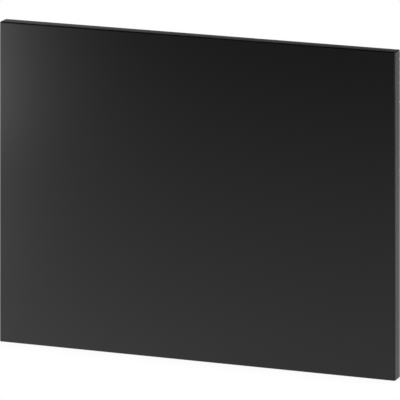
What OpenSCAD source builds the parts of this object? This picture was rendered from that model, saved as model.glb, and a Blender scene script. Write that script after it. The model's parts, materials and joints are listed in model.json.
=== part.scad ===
// Kick plate: an edge-banded laminated board, held from behind by spring clips
// that grip round support legs.
// Millimetres. +X runs along the width, +Y from the face towards the legs, +Z up.
// The origin is the centre of the bottom edge that stands on the floor.

/* [Board] */
// Overall width of the kick plate
board_w = 597; // [450:1:1200]
// Overall height of the kick plate
board_h = 457; // [300:1:700]
// Overall thickness of the finished board
board_t = 22; // [19:0.5:28]
// Thickness of the laminate on the face and on the back
laminate_t = 0.8; // [0.4:0.1:1.2]
// Thickness of the edge bands
band_t = 2; // [2:0.1:3]
// Radius that eases every outer arris of the edge bands
arris_r = 1.8; // [0.5:0.1:1.8]

/* [Clip layout] */
// Distance from each end of the board to the middle of a clip
clip_end_inset = 98.5; // [70:0.5:150]
// Distance from the top or bottom edge to the middle of a clip
clip_edge_inset = 80; // [40:1:120]
// Distance from the back of the board to the axis of a support leg
leg_setback = 28.5; // [28.5:0.5:40]
// Travel of a clip each way along its bracket
clip_travel = 15; // [5:1:15]

/* [Leg clip] */
// Outer diameter of the round support leg that the clip grips
leg_d = 30; // [26:1:30]
// Wall thickness of the spring ring
ring_wall = 3; // [2.5:0.1:3.5]
// Height of the spring ring along the leg
ring_h = 20; // [16:1:30]
// Half of the angle left open for the leg to snap in
mouth_half_angle = 50; // [40:1:60]
// Length of the lead-in lip on each tip of the ring
lip_l = 6; // [4:0.5:8]
// Angle of a lead-in lip away from the way in
lip_angle = 38; // [25:1:45]

/* [Bracket] */
// Length of the bracket along the board
bracket_l = 88; // [86:1:100]
// Height of the bracket
bracket_h = 34; // [34:1:44]
// Thickness of the bracket's base plate
base_t = 3.5; // [3:0.1:5]
// Length of the rails that hold the clip's foot
rail_l = 58; // [56:1:60]
// Thickness of a rail's wall and of the lip over the foot
rail_wall = 2.4; // [2:0.1:3]
// Distance from the middle of the bracket to each screw
screw_offset = 36; // [35:0.5:37]
// Number of gussets that brace each rail
gusset_count = 4; // [2:1:6]

/* [Hidden] */
$fn = 64;

// Board faces and the core that the bands and laminates cover
back_y = board_t / 2;
front_y = -board_t / 2;
core_w = board_w - 2 * band_t;
core_h = board_h - 2 * band_t;
core_t = board_t - 2 * laminate_t;

// Middle of each clip on the back of the board
clip_x = board_w / 2 - clip_end_inset;
clip_low_z = clip_edge_inset;
clip_high_z = board_h - clip_edge_inset;
stations = [for (sx = [-1, 1], z = [clip_low_z, clip_high_z]) [sx * clip_x, z]];

// Foot of the clip: a flat tee that slides in the bracket with play all round
play = 0.2;
foot_l = 20;
foot_h = 24;
foot_t = 2.4;
foot_chamfer = 0.8;
neck_l = 14;
neck_h = 16;
foot_y = base_t + play;

// How far a rail, gusset or stop reaches down into the plate that it stands on
rooted = 1;

// Undercut slot of the bracket
slot_h = foot_h + 2 * play;
slot_d = foot_t + 2 * play;
throat_h = neck_h + 2 * play;
bracket_corner_r = 6;
stop_r = 1;
stop_rise = 0.7;
stop_x = clip_travel + foot_l / 2 + stop_r + play;
gusset_t = 1.6;
gusset_w = 1.8;
gusset_h = 3.6;
gusset_pitch = rail_l / gusset_count;

// Spring ring of the clip
ring_ri = leg_d / 2;
ring_ro = ring_ri + ring_wall;
ring_mid_r = ring_ri + ring_wall / 2;
neck_flare_l = 21;
wedge_l = 2 * ring_ro;

// Countersunk chipboard screw, 3.5 x 16
screw_l = 16;
screw_head_r = 3.4;
screw_crest_r = 1.75;
screw_root_r = 1.1;
screw_pitch = 1.6;
screw_rim = 0.2;
screw_tip_l = 2.4;
screw_sink = 0.1;
thread_turns = 7;
recess_l = 4;
recess_w = 0.9;
recess_d = 1.6;

// Holes for the screws
pilot_r = 1.25;
pilot_depth = 14;
laminate_hole_r = 1.9;
bracket_hole_r = 1.9;
countersink_play = 0.05;
countersink_r = screw_head_r + screw_rim + screw_sink + countersink_play;
cut = 1;

// Rectangle with circular corners, centred
module eased_rect(w, h, r) {
    square([w - 2 * r, h], center = true);
    square([w, h - 2 * r], center = true);
    for (sx = [-1, 1], sy = [-1, 1])
        translate([sx * (w / 2 - r), sy * (h / 2 - r)]) circle(r);
}

// Stands a profile drawn in X and Z up as a plate that grows along +Y
module extrude_back(t) {
    rotate([-90, 0, 0]) linear_extrude(t) children();
}

// Outer shape of the finished board, with every arris eased
module board_envelope() {
    intersection() {
        translate([0, front_y, board_h / 2])
            extrude_back(board_t) eased_rect(board_w, board_h, arris_r);
        linear_extrude(board_h) eased_rect(board_w, board_t, arris_r);
        translate([-board_w / 2, 0, board_h / 2]) rotate([0, 90, 0])
            linear_extrude(board_w) eased_rect(board_h, board_t, arris_r);
    }
}

// Slab of the core's outline between two depths
module core_slab(from_y, t) {
    translate([-core_w / 2, from_y, band_t]) cube([core_w, t, core_h]);
}

// Round hole from the back of the board into it, at every screw
module screw_bores(r, depth) {
    for (s = stations, side = [-1, 1])
        translate([s[0] + side * screw_offset, back_y + cut, s[1]])
            rotate([90, 0, 0]) cylinder(r = r, h = depth + cut);
}

module core_board() {
    color("#9c7c58") difference() {
        core_slab(front_y + laminate_t, core_t);
        screw_bores(pilot_r, pilot_depth);
    }
}

module front_laminate() {
    color("#1b1b1c") core_slab(front_y, laminate_t);
}

module back_laminate() {
    color("#2b2b2d") difference() {
        core_slab(back_y - laminate_t, laminate_t);
        screw_bores(laminate_hole_r, laminate_t + cut);
    }
}

// The top and bottom bands run the full width and cover the ends of the others
module edge_band_long(z) {
    color("#202021") intersection() {
        board_envelope();
        translate([-board_w / 2, front_y, z]) cube([board_w, board_t, band_t]);
    }
}

module edge_band_short(x) {
    color("#202021") intersection() {
        board_envelope();
        translate([x, front_y, band_t]) cube([band_t, board_t, core_h]);
    }
}

// Wall and overhanging lip that hold one side of the clip's foot
module rail(side) {
    top_y = base_t + slot_d + rail_wall;
    mirror([0, 0, side < 0 ? 1 : 0]) translate([-rail_l / 2, 0, 0]) {
        translate([0, base_t - rooted, slot_h / 2])
            cube([rail_l, top_y - base_t + rooted, rail_wall]);
        translate([0, base_t + slot_d, throat_h / 2])
            cube([rail_l, rail_wall, slot_h / 2 - throat_h / 2 + rooted]);
    }
}

// Triangular braces between the outer side of a rail and the base plate
module gussets(side) {
    wall_z = slot_h / 2 + rail_wall;
    mirror([0, 0, side < 0 ? 1 : 0]) for (i = [0 : gusset_count - 1])
        translate([(i - (gusset_count - 1) / 2) * gusset_pitch - gusset_t / 2, 0, 0])
            rotate([90, 0, 90]) linear_extrude(gusset_t) polygon([
                [base_t - rooted, wall_z - rooted], [base_t - rooted, wall_z + gusset_w],
                [base_t, wall_z + gusset_w], [base_t + gusset_h, wall_z],
                [base_t + gusset_h, wall_z - rooted]
            ]);
}

// Through hole with a countersink for one screw
module bracket_hole() {
    sink_h = countersink_r - bracket_hole_r;
    translate([0, -cut, 0]) rotate([-90, 0, 0])
        cylinder(r = bracket_hole_r, h = base_t + 2 * cut);
    translate([0, base_t - sink_h, 0]) rotate([-90, 0, 0])
        cylinder(r1 = bracket_hole_r, r2 = countersink_r, h = sink_h);
}

// Low bump that stops the foot at each end of its travel
module foot_stop() {
    intersection() {
        translate([0, base_t + stop_rise - stop_r, -throat_h / 2])
            cylinder(r = stop_r, h = throat_h);
        translate([-stop_r, base_t - rooted, -throat_h / 2])
            cube([2 * stop_r, rooted + stop_rise, throat_h]);
    }
}

module clip_bracket(station) {
    color("#3a3a3c") translate([station[0], back_y, station[1]]) difference() {
        union() {
            extrude_back(base_t) eased_rect(bracket_l, bracket_h, bracket_corner_r);
            for (side = [-1, 1]) {
                rail(side);
                gussets(side);
                translate([side * stop_x, 0, 0]) foot_stop();
            }
        }
        for (side = [-1, 1]) translate([side * screw_offset, 0, 0]) bracket_hole();
    }
}

// Tee-shaped foot, with its leading corners chamfered to ride over the stops
module clip_foot() {
    x = foot_l / 2;
    c = foot_chamfer;
    translate([0, foot_y, -foot_h / 2]) linear_extrude(foot_h)
        polygon([[-x + c, 0], [x - c, 0], [x, c], [x, foot_t], [-x, foot_t], [-x, c]]);
}

// Web between the foot and the ring, spreading out to meet the ring
module clip_neck() {
    x = neck_l / 2;
    flare_x = neck_flare_l / 2;
    spread_y = leg_setback - ring_ro;
    end_y = leg_setback - sqrt(pow(ring_mid_r, 2) - pow(flare_x, 2));
    translate([0, 0, -neck_h / 2]) linear_extrude(neck_h) difference() {
        polygon([
            [-x, foot_y + foot_t - play], [x, foot_y + foot_t - play], [x, spread_y],
            [flare_x, end_y], [-flare_x, end_y], [-x, spread_y]
        ]);
        translate([0, leg_setback]) circle(ring_ri + ring_wall / 4);
    }
}

// Lead-in lip on one tip of the ring, with its rounded ends
module ring_lip() {
    tip_r = ring_wall / 2;
    translate([ring_mid_r * sin(mouth_half_angle), ring_mid_r * cos(mouth_half_angle)]) {
        circle(tip_r);
        rotate(-lip_angle) {
            translate([-tip_r, 0]) square([2 * tip_r, lip_l]);
            translate([0, lip_l]) circle(tip_r);
        }
    }
}

// Open spring ring around the leg
module clip_ring() {
    mouth_x = wedge_l * tan(mouth_half_angle);
    translate([0, leg_setback, -ring_h / 2]) linear_extrude(ring_h) difference() {
        union() {
            difference() {
                circle(ring_ro);
                polygon([[0, 0], [mouth_x, wedge_l], [-mouth_x, wedge_l]]);
            }
            ring_lip();
            mirror([1, 0]) ring_lip();
        }
        circle(ring_ri);
    }
}

module leg_clip(station) {
    color("#4a4a4d") translate([station[0], back_y, station[1]]) union() {
        clip_foot();
        clip_neck();
        clip_ring();
    }
}

// Half profile of a screw, from the middle of its head to its tip
function screw_profile() = let (
    neck_z = screw_rim + screw_head_r - screw_crest_r,
    thread_z = screw_l - screw_tip_l - thread_turns * screw_pitch
) concat(
    [[0, 0], [screw_head_r, 0], [screw_head_r, -screw_rim], [screw_crest_r, -neck_z],
     [screw_crest_r, -thread_z + screw_pitch / 4]],
    [for (turn = [0 : thread_turns - 1], half = [0, 1]) [
        half == 0 ? screw_root_r : screw_crest_r,
        -(thread_z + (turn + half / 2) * screw_pitch)
    ]],
    [[screw_root_r, -(screw_l - screw_tip_l)], [0, -screw_l]]
);

module screw() {
    difference() {
        rotate_extrude() polygon(screw_profile());
        for (turn = [0, 90]) rotate(turn)
            translate([-recess_l / 2, -recess_w / 2, -recess_d])
                cube([recess_l, recess_w, recess_d + cut]);
    }
}

module bracket_screws() {
    color("#b9bcc0") for (s = stations, side = [-1, 1])
        translate([s[0] + side * screw_offset, back_y + base_t - screw_sink, s[1]])
            rotate([-90, 0, 0]) screw();
}

core_board();
front_laminate();
back_laminate();
edge_band_long(board_h - band_t);  // edge_band_top
edge_band_long(0);  // edge_band_bottom
edge_band_short(-board_w / 2);  // edge_band_left
edge_band_short(board_w / 2 - band_t);  // edge_band_right
clip_bracket([-clip_x, clip_low_z]);  // clip_bracket_lower_left
clip_bracket([clip_x, clip_low_z]);  // clip_bracket_lower_right
clip_bracket([-clip_x, clip_high_z]);  // clip_bracket_upper_left
clip_bracket([clip_x, clip_high_z]);  // clip_bracket_upper_right
leg_clip([-clip_x, clip_low_z]);  // leg_clip_lower_left
leg_clip([clip_x, clip_low_z]);  // leg_clip_lower_right
leg_clip([-clip_x, clip_high_z]);  // leg_clip_upper_left
leg_clip([clip_x, clip_high_z]);  // leg_clip_upper_right
bracket_screws();
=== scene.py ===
"""Looks of the kick plate: a matte-black laminated board with sliding leg clips on its back."""

import json
import math

import bmesh
import bpy
from mathutils import Matrix, Vector

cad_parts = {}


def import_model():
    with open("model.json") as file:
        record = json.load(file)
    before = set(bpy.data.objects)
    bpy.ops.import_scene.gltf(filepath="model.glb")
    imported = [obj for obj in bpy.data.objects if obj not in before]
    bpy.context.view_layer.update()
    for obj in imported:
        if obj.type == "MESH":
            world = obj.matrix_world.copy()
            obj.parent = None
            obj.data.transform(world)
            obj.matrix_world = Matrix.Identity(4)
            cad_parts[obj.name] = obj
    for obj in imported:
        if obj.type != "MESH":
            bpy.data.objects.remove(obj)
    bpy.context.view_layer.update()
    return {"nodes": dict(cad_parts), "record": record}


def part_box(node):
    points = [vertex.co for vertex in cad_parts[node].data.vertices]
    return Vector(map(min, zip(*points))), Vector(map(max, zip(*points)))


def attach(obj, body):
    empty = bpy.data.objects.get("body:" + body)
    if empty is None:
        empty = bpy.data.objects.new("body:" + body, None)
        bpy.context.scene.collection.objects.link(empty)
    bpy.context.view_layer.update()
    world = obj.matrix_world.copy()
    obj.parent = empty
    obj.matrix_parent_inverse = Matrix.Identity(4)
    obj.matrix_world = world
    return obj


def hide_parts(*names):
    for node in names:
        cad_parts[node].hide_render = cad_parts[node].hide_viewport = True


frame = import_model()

MM = 0.001
CORNERS = ("lower_left", "lower_right", "upper_left", "upper_right")

# The board's lowest and highest corners, from the bands that run its full width
board_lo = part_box("edge_band_bottom")[0]
board_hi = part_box("edge_band_top")[1]


# ---------------------------------------------------------------- mesh helpers


def piece(name, mesh, body, slot, node, at=(0, 0, 0)):
    """Adds mesh as a named piece at a place in the frame, riding on a body and standing for a CAD node."""
    obj = bpy.data.objects.new(name, mesh)
    bpy.context.scene.collection.objects.link(obj)
    obj.location = at
    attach(obj, body)
    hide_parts(node)
    obj.data.materials.clear()
    obj.data.materials.append(MATERIALS[slot])
    return obj


def to_mesh(bm, name, smooth_angle=math.radians(32)):
    """Turns a bmesh into a mesh whose shallow edges are shaded smooth."""
    bmesh.ops.recalc_face_normals(bm, faces=bm.faces)
    for face in bm.faces:
        face.smooth = True
    for edge in bm.edges:
        edge.smooth = len(edge.link_faces) == 2 and edge.calc_face_angle() < smooth_angle
    mesh = bpy.data.meshes.new(name)
    bm.to_mesh(mesh)
    bm.free()
    return mesh


def block(lo, hi):
    """A bmesh box between two corners."""
    bm = bmesh.new()
    size = hi - lo
    place = Matrix.Translation((lo + hi) / 2) @ Matrix.Diagonal((*size, 1))
    bmesh.ops.create_cube(bm, size=1, matrix=place)
    return bm


def keep_side(bm, point, normal):
    """Cuts the bmesh with a plane, drops what lies on the normal's side and closes the cut."""
    geometry = bm.verts[:] + bm.edges[:] + bm.faces[:]
    cut = bmesh.ops.bisect_plane(bm, geom=geometry, plane_co=point, plane_no=normal, clear_outer=True)
    edges = [g for g in cut["geom_cut"] if isinstance(g, bmesh.types.BMEdge)]
    bmesh.ops.contextual_create(bm, geom=edges)


def arc(centre, radius, start, end, steps):
    """Points on an arc, from one angle to another, in degrees anticlockwise from the first axis."""
    angles = [math.radians(start + (end - start) * i / steps) for i in range(steps + 1)]
    return [(centre[0] + radius * math.cos(a), centre[1] + radius * math.sin(a)) for a in angles]


# For an outline's (u, v, height), which of the three goes along X, Y and Z when it is extruded
AXIS_ORDER = {"x": (2, 0, 1), "y": (0, 2, 1), "z": (0, 1, 2)}


def prism(outline, low, high, axis, rim=0.0, segments=3):
    """Extrudes a closed outline from low to high along an axis, with its two rims rounded."""
    bm = bmesh.new()
    order = AXIS_ORDER[axis]
    loops = []
    for height in (low, high):
        points = [(u, v, height) for u, v in outline]
        loops.append([bm.verts.new([p[k] for k in order]) for p in points])
    for i in range(len(outline)):
        j = (i + 1) % len(outline)
        bm.faces.new((loops[0][i], loops[0][j], loops[1][j], loops[1][i]))
    caps = [bm.faces.new(loop) for loop in loops]
    bmesh.ops.recalc_face_normals(bm, faces=bm.faces)
    if rim:
        edges = [e for cap in caps for e in cap.edges]
        bmesh.ops.bevel(
            bm, geom=edges, offset=rim, segments=segments, profile=0.5, affect="EDGES", clamp_overlap=False
        )
    return bm


def lathe(profile, steps=48):
    """Turns (radius, y) points about the Y axis into a closed solid; the first and last lie on the axis."""
    bm = bmesh.new()
    ends = [bm.verts.new((0, profile[k][1], 0)) for k in (0, -1)]
    rings = []
    for radius, y in profile[1:-1]:
        turns = [math.tau * i / steps for i in range(steps)]
        rings.append([bm.verts.new((radius * math.cos(t), y, radius * math.sin(t))) for t in turns])
    for i in range(steps):
        j = (i + 1) % steps
        bm.faces.new((ends[0], rings[0][i], rings[0][j]))
        bm.faces.new((ends[1], rings[-1][j], rings[-1][i]))
        for near, far in zip(rings, rings[1:]):
            bm.faces.new((near[i], far[i], far[j], near[j]))
    bmesh.ops.recalc_face_normals(bm, faces=bm.faces)
    return bm


def combine(name, solids, cutters=()):
    """One closed mesh from overlapping bmesh solids, less the cutters."""
    tools = []
    for number, bm in enumerate([*solids, *cutters]):
        mesh = bpy.data.meshes.new(f"{name}_tool_{number}")
        bm.to_mesh(mesh)
        bm.free()
        tools.append(bpy.data.objects.new(mesh.name, mesh))
        bpy.context.scene.collection.objects.link(tools[-1])
    base = tools[0]
    for number, tool in enumerate(tools[1:], start=1):
        modifier = base.modifiers.new("combine", "BOOLEAN")
        modifier.solver = "EXACT"
        modifier.operation = "UNION" if number < len(solids) else "DIFFERENCE"
        modifier.object = tool
    depsgraph = bpy.context.evaluated_depsgraph_get()
    joined = bmesh.new()
    joined.from_object(base, depsgraph)
    for tool in tools:
        bpy.data.meshes.remove(tool.data)
    bmesh.ops.remove_doubles(joined, verts=joined.verts, dist=1e-6)
    return to_mesh(joined, name)


# ---------------------------------------------------------------- materials


class Graph:
    """The node tree of a new material or world, built a node at a time."""

    def __init__(self, name, kind="materials"):
        self.owner = getattr(bpy.data, kind).new(name)
        self.owner.use_nodes = True
        self.tree = self.owner.node_tree
        self.output = self.tree.get_output_node("ALL").inputs["Surface"]
        self.surface = self.output.links[0].from_node
        self.place = self.add("ShaderNodeTexCoord").outputs["Object"]

    def add(self, kind, **inputs):
        """Adds a node; each keyword is an input's name with _ for a space, and a value or a socket."""
        node = self.tree.nodes.new(kind)
        for key, value in inputs.items():
            self.set(node.inputs[key.replace("_", " ")], value)
        return node

    def set(self, socket, value):
        """Gives an input a value, or links another node's output to it."""
        if isinstance(value, bpy.types.NodeSocket):
            self.tree.links.new(value, socket)
        else:
            socket.default_value = value

    def stretched(self, x, y, z):
        """The object's coordinates, scaled along each axis."""
        return self.add("ShaderNodeMapping", Vector=self.place, Scale=(x, y, z)).outputs["Vector"]

    def noise(self, size, detail=3.0, vector=None):
        """Noise whose features are about size metres across."""
        node = self.add("ShaderNodeTexNoise", Vector=vector or self.place, Scale=1 / size, Detail=detail)
        return node.outputs["Fac"]

    def math(self, operation, a, b=0.0):
        """A sum of two values or sockets; some operations use only the first."""
        node = self.tree.nodes.new("ShaderNodeMath")
        node.operation = operation
        self.set(node.inputs[0], a)
        self.set(node.inputs[1], b)
        return node.outputs["Value"]

    def between(self, fac, low, high):
        """fac, 0 to 1, mapped to low to high."""
        node = self.add("ShaderNodeMapRange", Value=fac, To_Min=low, To_Max=high)
        return node.outputs["Result"]

    def colours(self, fac, *stops):
        """A colour ramp with its stops as (position, (r, g, b))."""
        node = self.add("ShaderNodeValToRGB", Fac=fac)
        ramp = node.color_ramp
        while len(ramp.elements) < len(stops):
            ramp.elements.new(0.5)
        for element, (position, colour) in zip(ramp.elements, stops):
            element.position = position
            element.color = (*colour, 1)
        return node.outputs["Color"]

    def bump(self, height, depth):
        """A bump of the given depth in metres."""
        return self.add("ShaderNodeBump", Height=height, Distance=depth).outputs["Normal"]

    def slant(self):
        """0 where the surface faces along one of the frame's axes, rising to 1 half-way round an arris."""
        normal = self.add("ShaderNodeNewGeometry").outputs["Normal"]
        largest = 0.0
        for part in self.add("ShaderNodeSeparateXYZ", Vector=normal).outputs:
            largest = self.math("MAXIMUM", largest, self.math("ABSOLUTE", part))
        node = self.add("ShaderNodeMapRange", Value=largest, From_Min=1.0, From_Max=0.75)
        return node.outputs["Result"]

    def finish(self, **inputs):
        """Sets the surface's inputs and returns the material."""
        for key, value in inputs.items():
            self.set(self.surface.inputs[key.replace("_", " ")], value)
        return self.owner

    def camera_or_light(self, seen, lit):
        """Shows one shader to the camera and another to all other rays."""
        rays = self.add("ShaderNodeLightPath").outputs["Is Camera Ray"]
        mix = self.add("ShaderNodeMixShader", Fac=rays)
        self.set(mix.inputs[1], lit)
        self.set(mix.inputs[2], seen)
        self.set(self.output, mix.outputs["Shader"])
        return self.owner


def grey(value):
    """A grey with a trace of blue."""
    return (value, value, value * 1.02)


def decor_black():
    """Matte decor laminate: near black, with a fine pressed grain and faint unevenness in its sheen."""
    g = Graph("decor_black")
    cloud = g.noise(45 * MM, 2)
    fleck = g.noise(1.4 * MM, 4)
    colour = g.colours(fleck, (0.35, grey(0.0085)), (0.7, grey(0.0115)))
    grain = g.bump(g.noise(0.5 * MM, 4), 0.03 * MM)
    return g.finish(Base_Color=colour, Roughness=g.between(cloud, 0.43, 0.47), Normal=grain)


def abs_edge():
    """Edge band: smoother than the decor, with faint scraper marks across it and buffed arrises."""
    g = Graph("abs_edge")
    chatter = g.noise(1.2 * MM, 2, g.stretched(1, 0.04, 1))
    colour = g.colours(g.noise(3 * MM), (0.3, grey(0.0090)), (0.7, grey(0.0120)))
    marks = g.bump(chatter, 0.02 * MM)
    buffing = g.between(g.slant(), 0, 0.2)
    roughness = g.math("SUBTRACT", g.between(chatter, 0.38, 0.46), buffing)
    return g.finish(Base_Color=colour, Roughness=roughness, Normal=marks)


def backing_charcoal():
    """Balancing laminate on the back: charcoal, with a slightly coarser grain than the face."""
    g = Graph("backing_charcoal")
    fleck = g.noise(2.2 * MM, 5)
    colour = g.colours(fleck, (0.3, grey(0.026)), (0.7, grey(0.036)))
    grain = g.bump(g.noise(0.9 * MM, 4), 0.02 * MM)
    return g.finish(Base_Color=colour, Roughness=g.between(g.noise(60 * MM), 0.5, 0.58), Normal=grain)


def core_mdf():
    """Fibreboard: matted brown fibres, dull all over."""
    g = Graph("core_mdf")
    fibres = g.noise(0.8 * MM, 6, g.stretched(0.25, 1, 0.25))
    colour = g.colours(
        fibres, (0.25, (0.24, 0.155, 0.085)), (0.55, (0.38, 0.265, 0.16)), (0.8, (0.50, 0.37, 0.24))
    )
    return g.finish(Base_Color=colour, Roughness=0.9, Normal=g.bump(fibres, 0.08 * MM))


def moulded_nylon(name, shade):
    """Moulded nylon with a spark-eroded grain and faint flow marks."""
    g = Graph(name)
    flow = g.noise(9 * MM, 2, g.stretched(0.4, 1, 1))
    colour = g.colours(flow, (0.3, grey(shade * 0.88)), (0.7, grey(shade * 1.1)))
    grain = g.bump(g.noise(0.35 * MM, 3), 0.02 * MM)
    return g.finish(Base_Color=colour, Roughness=g.between(flow, 0.40, 0.50), Normal=grain)


def zinc_steel():
    """Zinc plate: pale metal with soft bluish and yellowish patches and fine turning marks."""
    g = Graph("zinc_steel")
    patch = g.noise(1.6 * MM, 3)
    colour = g.colours(
        patch, (0.3, (0.56, 0.60, 0.66)), (0.55, (0.66, 0.67, 0.68)), (0.8, (0.70, 0.67, 0.58))
    )
    marks = g.bump(g.noise(0.15 * MM, 2), 0.006 * MM)
    return g.finish(Base_Color=colour, Metallic=1.0, Roughness=g.between(patch, 0.24, 0.36), Normal=marks)


MATERIALS = {
    "decor_black": decor_black(),
    "abs_edge": abs_edge(),
    "backing_charcoal": backing_charcoal(),
    "core_mdf": core_mdf(),
    "bracket_nylon": moulded_nylon("bracket_nylon", 0.022),
    "clip_nylon": moulded_nylon("clip_nylon", 0.105),
    "zinc_steel": zinc_steel(),
}


# ---------------------------------------------------------------- board


ARRIS_R = 1.8 * MM
ARRIS_SEGMENTS = 8
# Chamfer on the face laminate where it meets the edge bands
SEAM = 0.12 * MM
# Two places closer than this are the same
SAME = 1e-6


def eased_board():
    """The whole board as one block with every arris and corner rounded."""
    bm = block(board_lo, board_hi)
    bmesh.ops.bevel(
        bm, geom=bm.edges[:], offset=ARRIS_R, segments=ARRIS_SEGMENTS, profile=0.5, affect="EDGES"
    )
    return bm


def edge_band(node):
    """The part of the eased board that one edge band takes up."""
    lo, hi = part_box(node)
    bm = eased_board()
    for axis, unit in enumerate(Matrix.Identity(3)):
        if lo[axis] > board_lo[axis] + SAME:
            keep_side(bm, lo, -unit)
        if hi[axis] < board_hi[axis] - SAME:
            keep_side(bm, hi, unit)
    piece(node + "_strip", to_mesh(bm, node), "panel", "abs_edge", node)


def face_sheet(node):
    """The laminate on the face, with a hairline chamfer where it meets the edge bands."""
    lo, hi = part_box(node)
    bm = block(lo, hi)
    rim = [e for e in bm.edges if all(v.co.y < lo.y + SAME for v in e.verts)]
    bmesh.ops.bevel(bm, geom=rim, offset=SEAM, segments=2, profile=0.5, affect="EDGES")
    piece(node + "_sheet", to_mesh(bm, node), "panel", "decor_black", node)


for side in ("top", "bottom", "left", "right"):
    edge_band("edge_band_" + side)
face_sheet("front_laminate")

# The core and the back laminate keep their CAD shape and get better materials
for node, slot in (("core_board", "core_mdf"), ("back_laminate", "backing_charcoal")):
    frame["nodes"][node].data.materials.clear()
    frame["nodes"][node].data.materials.append(MATERIALS[slot])


# ---------------------------------------------------------------- clips and brackets

# The leg that a clip grips and how far a clip slides, from the record
grip = next(mount for mount in frame["record"]["mounts"] if mount["name"] == "leg_grip_upper_right")
LEG_Y = grip["pos_m"][1] - board_hi.y
RING_R = grip["dims"]["r_mm"] * MM
RING_HALF_H = grip["dims"]["length_mm"] * MM / 2
TRAVEL = frame["record"]["behaviour"]["joints"][0]["range_m"][1]

# A bracket, its clip at rest and the screws, as they stand in the frame
bracket_lo, bracket_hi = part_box("clip_bracket_upper_right")
clip_lo, clip_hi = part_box("leg_clip_upper_right")
screws_lo, screws_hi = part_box("bracket_screws")

# Clip, with Y measured from the back of the board
PLAY = 0.2 * MM
FOOT_Y = clip_lo.y - board_hi.y
FOOT_T = 2.4 * MM
FOOT_HALF_L = 10 * MM
FOOT_HALF_H = (clip_hi.z - clip_lo.z) / 2
FOOT_CHAMFER = 0.8 * MM
NECK_HALF_L = 7 * MM
NECK_HALF_H = 8 * MM
NECK_FLARE = 10.5 * MM
RING_WALL = 3 * MM
MOUTH_HALF = 50
LIP_L = 6 * MM
LIP_ANGLE = 38

# Bracket, with play all round the clip's foot
BRACKET_HALF_L = (bracket_hi.x - bracket_lo.x) / 2
BRACKET_HALF_H = (bracket_hi.z - bracket_lo.z) / 2
CORNER_R = 6 * MM
BASE_T = FOOT_Y - PLAY
SLOT_D = FOOT_T + 2 * PLAY
SLOT_HALF = FOOT_HALF_H + PLAY
THROAT_HALF = NECK_HALF_H + PLAY
RAIL_TOP = bracket_hi.y - board_hi.y
RAIL_WALL = RAIL_TOP - BASE_T - SLOT_D
RAIL_HALF_L = 29 * MM
RAIL_EDGE_R = 0.8 * MM
RAIL_TIP_R = 0.5 * MM
RAIL_ROOT_R = 0.8 * MM
STOP_R = 1 * MM
STOP_RISE = 0.7 * MM
STOP_X = TRAVEL + FOOT_HALF_L + STOP_R + PLAY
GUSSET_COUNT = 4
GUSSET_HALF_T = 0.8 * MM
GUSSET_W = 1.8 * MM
GUSSET_H = 3.6 * MM
# How far a rail or a gusset reaches into what it stands on
ROOTED = 0.5 * MM

# Screw, and the hole that it sits in
SCREW_HEAD_R = 3.4 * MM
SCREW_HEAD_EDGE = 0.1 * MM
SCREW_RIM = 0.2 * MM
SCREW_CREST_R = 1.75 * MM
SCREW_ROOT_R = 1.1 * MM
SCREW_L = screws_hi.y - screws_lo.y
SCREW_TIP_L = 2.4 * MM
SCREW_PITCH = 1.6 * MM
THREAD_FROM = 2.6 * MM
THREAD_TO = 15 * MM
THREAD_RUN_OUT = 0.4 * MM
THREAD_RISE_TURNS = 0.5
THREAD_FADE_TURNS = 1.5
RECESS_HALF_L = 2.2 * MM
RECESS_FOOT_HALF_L = 1 * MM
RECESS_HALF_W = 0.45 * MM
RECESS_D = 1.8 * MM
SCREW_X = screws_hi.x - (bracket_lo.x + bracket_hi.x) / 2 - SCREW_HEAD_R
SCREW_TURN = math.radians(37)
SINK_BELOW = board_hi.y + BASE_T - screws_hi.y
SINK_R = SCREW_HEAD_R + SCREW_RIM + SINK_BELOW + 0.05 * MM
HOLE_R = 1.9 * MM
# How far a cutter reaches past the surface that it cuts
PAST = 1 * MM


def bracket_plate():
    """The base plate, with round corners and rounded rims."""
    outline = []
    for sx, sz, start in ((1, 1, 0), (-1, 1, 90), (-1, -1, 180), (1, -1, 270)):
        centre = (sx * (BRACKET_HALF_L - CORNER_R), sz * (BRACKET_HALF_H - CORNER_R))
        outline += arc(centre, CORNER_R, start, start + 90, 10)
    return prism(outline, 0, BASE_T, "y", rim=0.5 * MM)


def bracket_rail(side):
    """Wall and lip over one edge of the clip's foot, with rounded edges and a filleted root."""
    outer = SLOT_HALF + RAIL_WALL
    sunk = BASE_T - ROOTED
    ceiling = BASE_T + SLOT_D
    edge, tip, root = RAIL_EDGE_R, RAIL_TIP_R, RAIL_ROOT_R
    outline = [(sunk, SLOT_HALF), (ceiling, SLOT_HALF)]
    outline += arc((ceiling + tip, THROAT_HALF + tip), tip, 180, 270, 4)
    outline += arc((RAIL_TOP - tip, THROAT_HALF + tip), tip, 270, 360, 4)
    outline += arc((RAIL_TOP - edge, outer - edge), edge, 0, 90, 5)
    outline += arc((BASE_T + root, outer + root), root, 270, 180, 5)
    outline += [(sunk, outer + root)]
    outline = [(y, side * z) for y, z in outline]
    return prism(outline, -RAIL_HALF_L, RAIL_HALF_L, "x", rim=0.3 * MM, segments=2)


def gusset(side, x):
    """A triangular brace between the outer side of a rail and the base plate."""
    wall = SLOT_HALF + RAIL_WALL
    sunk = BASE_T - ROOTED
    outline = [(sunk, wall - ROOTED), (sunk, wall + GUSSET_W), (BASE_T, wall + GUSSET_W)]
    outline += [(BASE_T + GUSSET_H, wall), (BASE_T + GUSSET_H, wall - ROOTED)]
    outline = [(y, side * z) for y, z in outline]
    return prism(outline, x - GUSSET_HALF_T, x + GUSSET_HALF_T, "x", rim=0.2 * MM, segments=2)


def foot_stop(x):
    """The top of a sunken cylinder, which stops the clip's foot at one end of its travel."""
    outline = arc((x, BASE_T + STOP_RISE - STOP_R), STOP_R, 0, 360, 16)[:-1]
    return prism(outline, -THROAT_HALF, THROAT_HALF, "z", rim=0.25 * MM, segments=2)


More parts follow.
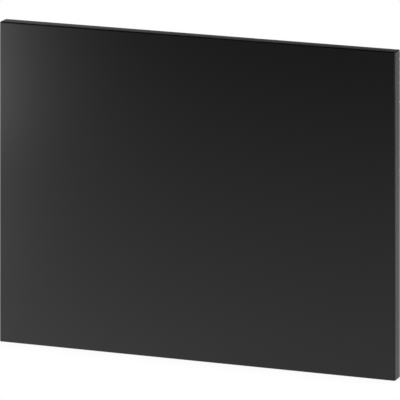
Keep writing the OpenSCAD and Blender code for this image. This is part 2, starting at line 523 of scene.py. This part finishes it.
def bracket_mesh():
    """The bracket, from its plate, rails, stops and gussets, less its two countersunk holes."""
    solids = [bracket_plate()]
    solids += [bracket_rail(side) for side in (-1, 1)]
    solids += [foot_stop(side * STOP_X) for side in (-1, 1)]
    for i in range(GUSSET_COUNT):
        x = (2 * i - GUSSET_COUNT + 1) * RAIL_HALF_L / GUSSET_COUNT
        solids += [gusset(side, x) for side in (-1, 1)]
    hole = [(0, -PAST), (HOLE_R, -PAST), (HOLE_R, BASE_T - SINK_R + HOLE_R)]
    hole += [(SINK_R + PAST, BASE_T + PAST), (0, BASE_T + PAST)]
    cutters = []
    for side in (-1, 1):
        cutters.append(lathe(hole))
        bmesh.ops.translate(cutters[-1], verts=cutters[-1].verts, vec=(side * SCREW_X, 0, 0))
    return combine("clip_bracket", solids, cutters)


def ring_outline():
    """The open ring with a lead-in lip on each tip, once round its wall."""
    middle_r = RING_R + RING_WALL / 2
    outer_r = RING_R + RING_WALL
    tip_r = RING_WALL / 2
    mouth = math.radians(MOUTH_HALF)
    lip = math.radians(LIP_ANGLE)
    joint = middle_r * Vector((math.sin(mouth), math.cos(mouth)))
    along = Vector((math.sin(lip), math.cos(lip)))
    across = Vector((along.y, -along.x))
    start = joint + tip_r * across
    # The lip's outer side runs on until it meets the ring's outer circle, at the notch
    ahead = start.dot(along)
    notch = start + (math.sqrt(ahead**2 - start.length_squared + outer_r**2) - ahead) * along
    notch_angle = math.degrees(math.atan2(notch.y, notch.x))
    half = arc((0, 0), outer_r, -90, notch_angle, 40)
    half += arc(joint + LIP_L * along, tip_r, -LIP_ANGLE, 180 - LIP_ANGLE, 12)
    half += arc(joint, tip_r, 180 - LIP_ANGLE, 270 - MOUTH_HALF, 8)
    half += arc((0, 0), RING_R, 90 - MOUTH_HALF, -90, 40)[1:]
    other_half = [(-x, y) for x, y in reversed(half[1:-1])]
    return [(x, y + LEG_Y) for x, y in half + other_half]


def clip_neck():
    """The web between the foot and the ring, spreading out and ending inside the ring's wall."""
    middle_r = RING_R + RING_WALL / 2
    start_y = FOOT_Y + FOOT_T / 2
    spread_y = LEG_Y - RING_R - RING_WALL
    end_y = LEG_Y - math.sqrt(middle_r**2 - NECK_FLARE**2)
    wrap = math.degrees(math.asin(NECK_FLARE / middle_r))
    outline = [(-NECK_HALF_L, start_y), (NECK_HALF_L, start_y), (NECK_HALF_L, spread_y)]
    outline += [(NECK_FLARE, end_y)]
    outline += arc((0, LEG_Y), RING_R + RING_WALL / 4, 270 + wrap, 270 - wrap, 16)
    outline += [(-NECK_FLARE, end_y), (-NECK_HALF_L, spread_y)]
    return prism(outline, -NECK_HALF_H, NECK_HALF_H, "z", rim=0.4 * MM, segments=2)


def clip_foot():
    """The flat foot, with its leading corners chamfered to ride over the stops."""
    x, c = FOOT_HALF_L, FOOT_CHAMFER
    outline = [(-x + c, 0), (x - c, 0), (x, c), (x, FOOT_T), (-x, FOOT_T), (-x, c)]
    outline = [(u, v + FOOT_Y) for u, v in outline]
    return prism(outline, -FOOT_HALF_H, FOOT_HALF_H, "z", rim=0.3 * MM, segments=2)


def clip_mesh():
    """The clip, from its ring, neck and foot."""
    ring = prism(ring_outline(), -RING_HALF_H, RING_HALF_H, "z", rim=0.5 * MM)
    return combine("leg_clip", [ring, clip_neck(), clip_foot()])


def screw_thread(steps_a_turn=24):
    """A ridge of triangular section along a helix, rising at its start and fading out at its end."""
    bm = bmesh.new()
    steps = round((THREAD_TO - THREAD_FROM) / SCREW_PITCH * steps_a_turn)
    inner_r = SCREW_ROOT_R * 0.8
    half_w = SCREW_PITCH * 0.34
    sections = []
    for i in range(steps + 1):
        turns = i / steps_a_turn
        turns_left = (steps - i) / steps_a_turn
        y = -THREAD_FROM - SCREW_PITCH * turns
        height = max(0.05, min(1, turns / THREAD_RISE_TURNS, turns_left / THREAD_FADE_TURNS))
        narrowing = min(1, (SCREW_L + y) / SCREW_TIP_L)
        core_r = inner_r * narrowing
        crest_r = (inner_r + (SCREW_CREST_R - inner_r) * height) * narrowing
        ridge = ((core_r, y + half_w), (crest_r, y), (core_r, y - half_w))
        c, s = math.cos(math.tau * turns), math.sin(math.tau * turns)
        sections.append([bm.verts.new((r * c, along, r * s)) for r, along in ridge])
    for near, far in zip(sections, sections[1:]):
        for k in range(3):
            bm.faces.new((near[k], near[(k + 1) % 3], far[(k + 1) % 3], far[k]))
    bm.faces.new(sections[0])
    bm.faces.new(sections[-1])
    bmesh.ops.recalc_face_normals(bm, faces=bm.faces)
    return bm


def screw_mesh():
    """A countersunk screw along -Y with a cross recess, its head's top at the origin."""
    neck = SCREW_RIM + SCREW_HEAD_R - SCREW_CREST_R
    shank = [(0, 0), (SCREW_HEAD_R - SCREW_HEAD_EDGE, 0)]
    shank += [(SCREW_HEAD_R, -SCREW_HEAD_EDGE), (SCREW_HEAD_R, -SCREW_RIM)]
    shank += [(SCREW_CREST_R, -neck), (SCREW_CREST_R, -THREAD_FROM)]
    shank += [(SCREW_ROOT_R, -THREAD_FROM - THREAD_RUN_OUT)]
    shank += [(SCREW_ROOT_R, SCREW_TIP_L - SCREW_L), (0, -SCREW_L)]
    top, foot = RECESS_HALF_L + PAST / 2, RECESS_FOOT_HALF_L
    slot = [(-top, PAST), (top, PAST), (foot, -RECESS_D), (-foot, -RECESS_D)]
    cutters = [prism(slot, -RECESS_HALF_W, RECESS_HALF_W, "z")]
    cutters.append(prism([(y, z) for z, y in slot], -RECESS_HALF_W, RECESS_HALF_W, "x"))
    return combine("bracket_screw", [lathe(shank), screw_thread()], cutters)


def fit_clips():
    """Puts a bracket, its two screws and its clip at each of the four places."""
    bracket, clip, screw = bracket_mesh(), clip_mesh(), screw_mesh()
    turn = 0
    for corner in CORNERS:
        node = "clip_bracket_" + corner
        lo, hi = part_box(node)
        station = Vector(((lo.x + hi.x) / 2, board_hi.y, (lo.z + hi.z) / 2))
        piece(node + "_moulding", bracket, "panel", "bracket_nylon", node, station)
        node = "leg_clip_" + corner
        piece(node + "_moulding", clip, "clip_" + corner, "clip_nylon", node, station)
        for side, ending in ((-1, "_a"), (1, "_b")):
            name = "bracket_screw_" + corner + ending
            at = station + Vector((side * SCREW_X, BASE_T - SINK_BELOW, 0))
            turn += SCREW_TURN
            obj = piece(name, screw, "panel", "zinc_steel", "bracket_screws", at)
            obj.rotation_euler.y = turn


fit_clips()


# ---------------------------------------------------------------- studio

# Where the camera stands and faces, its lens in millimetres, and its film's shift in film widths
CAMERA_AT = Vector((2.8318, -7.3635, 2.0591))
CAMERA_YAW = math.radians(21.01)
CAMERA_LENS = 503.5
CAMERA_SHIFT = -3.2521


def camera():
    """A level camera with a lowered film plane, so that upright edges stay parallel."""
    data = bpy.data.cameras.new("camera")
    data.lens = CAMERA_LENS
    data.sensor_width = 36
    data.clip_end = 100
    obj = bpy.data.objects.new("camera", data)
    bpy.context.scene.collection.objects.link(obj)
    obj.location = CAMERA_AT
    obj.rotation_euler = (math.pi / 2, 0, CAMERA_YAW)
    bpy.context.scene.camera = obj
    # The film plane is lowered only while the camera stands here: moved elsewhere, it looks straight on
    driver = data.driver_add("shift_y").driver
    for name, kind in (("x", "LOC_X"), ("y", "LOC_Y")):
        variable = driver.variables.new()
        variable.name = name
        variable.type = "TRANSFORMS"
        variable.targets[0].id = obj
        variable.targets[0].transform_type = kind
        variable.targets[0].transform_space = "WORLD_SPACE"
    home = f"abs(x - {CAMERA_AT.x:.4f}) + abs(y + {-CAMERA_AT.y:.4f}) < 0.001"
    driver.expression = f"{CAMERA_SHIFT} if {home} else 0"


# Each glow on the floor: its strength, its reach along X and along Y, and where its middle is along X
GLOWS = ((0.595, 8, 8, 0), (0.30, 0.5, 0.1, -0.3))
# Brightness of the floor where the object touches it, and how far that shade reaches
CONTACT_SHADE = 0.92
CONTACT_REACH = 0.05


def floor_material():
    """White to the camera with a soft contact shade; to other rays a pale floor lit round the object."""
    g = Graph("floor")
    glow = 0.0
    for strength, reach_x, reach_y, middle_x in GLOWS:
        spot = g.add("ShaderNodeMapping", Vector=g.place, Scale=(1 / reach_x, 1 / reach_y, 1))
        spot.inputs["Location"].default_value.x = -middle_x / reach_x
        away = g.add("ShaderNodeVectorMath", Vector=spot.outputs["Vector"])
        away.operation = "LENGTH"
        fade = g.math("EXPONENT", g.math("MULTIPLY", away.outputs["Value"], -1.0))
        glow = g.math("ADD", glow, g.math("MULTIPLY", fade, strength))
    pool = g.add("ShaderNodeEmission", Strength=glow)
    pale = g.add("ShaderNodeBsdfDiffuse", Color=(0.75, 0.75, 0.75, 1))
    lit = g.add("ShaderNodeAddShader")
    g.set(lit.inputs[0], pool.outputs[0])
    g.set(lit.inputs[1], pale.outputs[0])
    touch = g.add("ShaderNodeAmbientOcclusion", Distance=CONTACT_REACH)
    touch.samples = 8
    seen = g.add("ShaderNodeEmission", Strength=g.between(touch.outputs["AO"], CONTACT_SHADE, 1))
    return g.camera_or_light(seen.outputs[0], lit.outputs[0])


def floor():
    """A level floor that runs out of sight on every side."""
    reach = 40
    corners = [(-reach, -reach, 0), (reach, -reach, 0), (reach, reach, 0), (-reach, reach, 0)]
    mesh = bpy.data.meshes.new("floor")
    mesh.from_pydata(corners, [], [(0, 1, 2, 3)])
    mesh.materials.append(floor_material())
    obj = bpy.data.objects.new("floor", mesh)
    bpy.context.scene.collection.objects.link(obj)


# Brightness of the surroundings at the horizon, and how steeply they darken overhead
SKY = 0.206
SKY_FADE = 3


def world():
    """White behind everything to the camera; to other rays dim, and dimmer still overhead."""
    g = Graph("studio", "worlds")
    direction = g.add("ShaderNodeSeparateXYZ", Vector=g.place)
    below_zenith = g.math("SUBTRACT", 1.0, g.math("MAXIMUM", direction.outputs["Z"], 0.0))
    strength = g.math("MULTIPLY", g.math("POWER", below_zenith, SKY_FADE), SKY)
    lit = g.add("ShaderNodeBackground", Color=(1, 1, 1, 1), Strength=strength)
    seen = g.add("ShaderNodeBackground", Color=(1, 1, 1, 1))
    return g.camera_or_light(seen.outputs[0], lit.outputs[0])


# The middle of the board, which the lights point at unless told otherwise
MIDDLE = (0, 0, 0.23)


def softbox(name, at, size, power, towards=MIDDLE):
    """A rectangular area light, hidden from the camera, turned to a place on the board."""
    data = bpy.data.lights.new(name, "AREA")
    data.shape = "RECTANGLE"
    data.size, data.size_y = size
    data.energy = power
    obj = bpy.data.objects.new(name, data)
    bpy.context.scene.collection.objects.link(obj)
    obj.location = at
    aim = Vector(towards) - Vector(at)
    obj.rotation_mode = "QUATERNION"
    obj.rotation_quaternion = aim.to_track_quat("-Z", "Y")
    obj.visible_camera = False


camera()
floor()
bpy.context.scene.world = world()
softbox("right", (2.4, 0.3, 0.7), (1.2, 1.2), 15.8)
softbox("right_back", (1.2, 2.2, 0.5), (1.2, 0.8), 2.8)
softbox("back_left", (-1.6, 1.8, 0.7), (1.2, 1.2), 2.1)
softbox("back", (-0.6, 2.4, 0.75), (1.2, 0.5), 1.35)
softbox("behind", (-0.1, 1.3, 0.25), (0.75, 0.36), 11, towards=(-0.1, 0, 0.25))
softbox("left", (-0.5, -0.1, 0.25), (0.2, 0.7), 0.49, towards=(0, -0.02, 0.23))
softbox("left_high", (-0.5, -0.1, 0.41), (0.2, 0.32), 0.385, towards=(0, -0.02, 0.41))
# Colours are shown as lit, with no film curve
bpy.context.scene.view_settings.view_transform = "Standard"
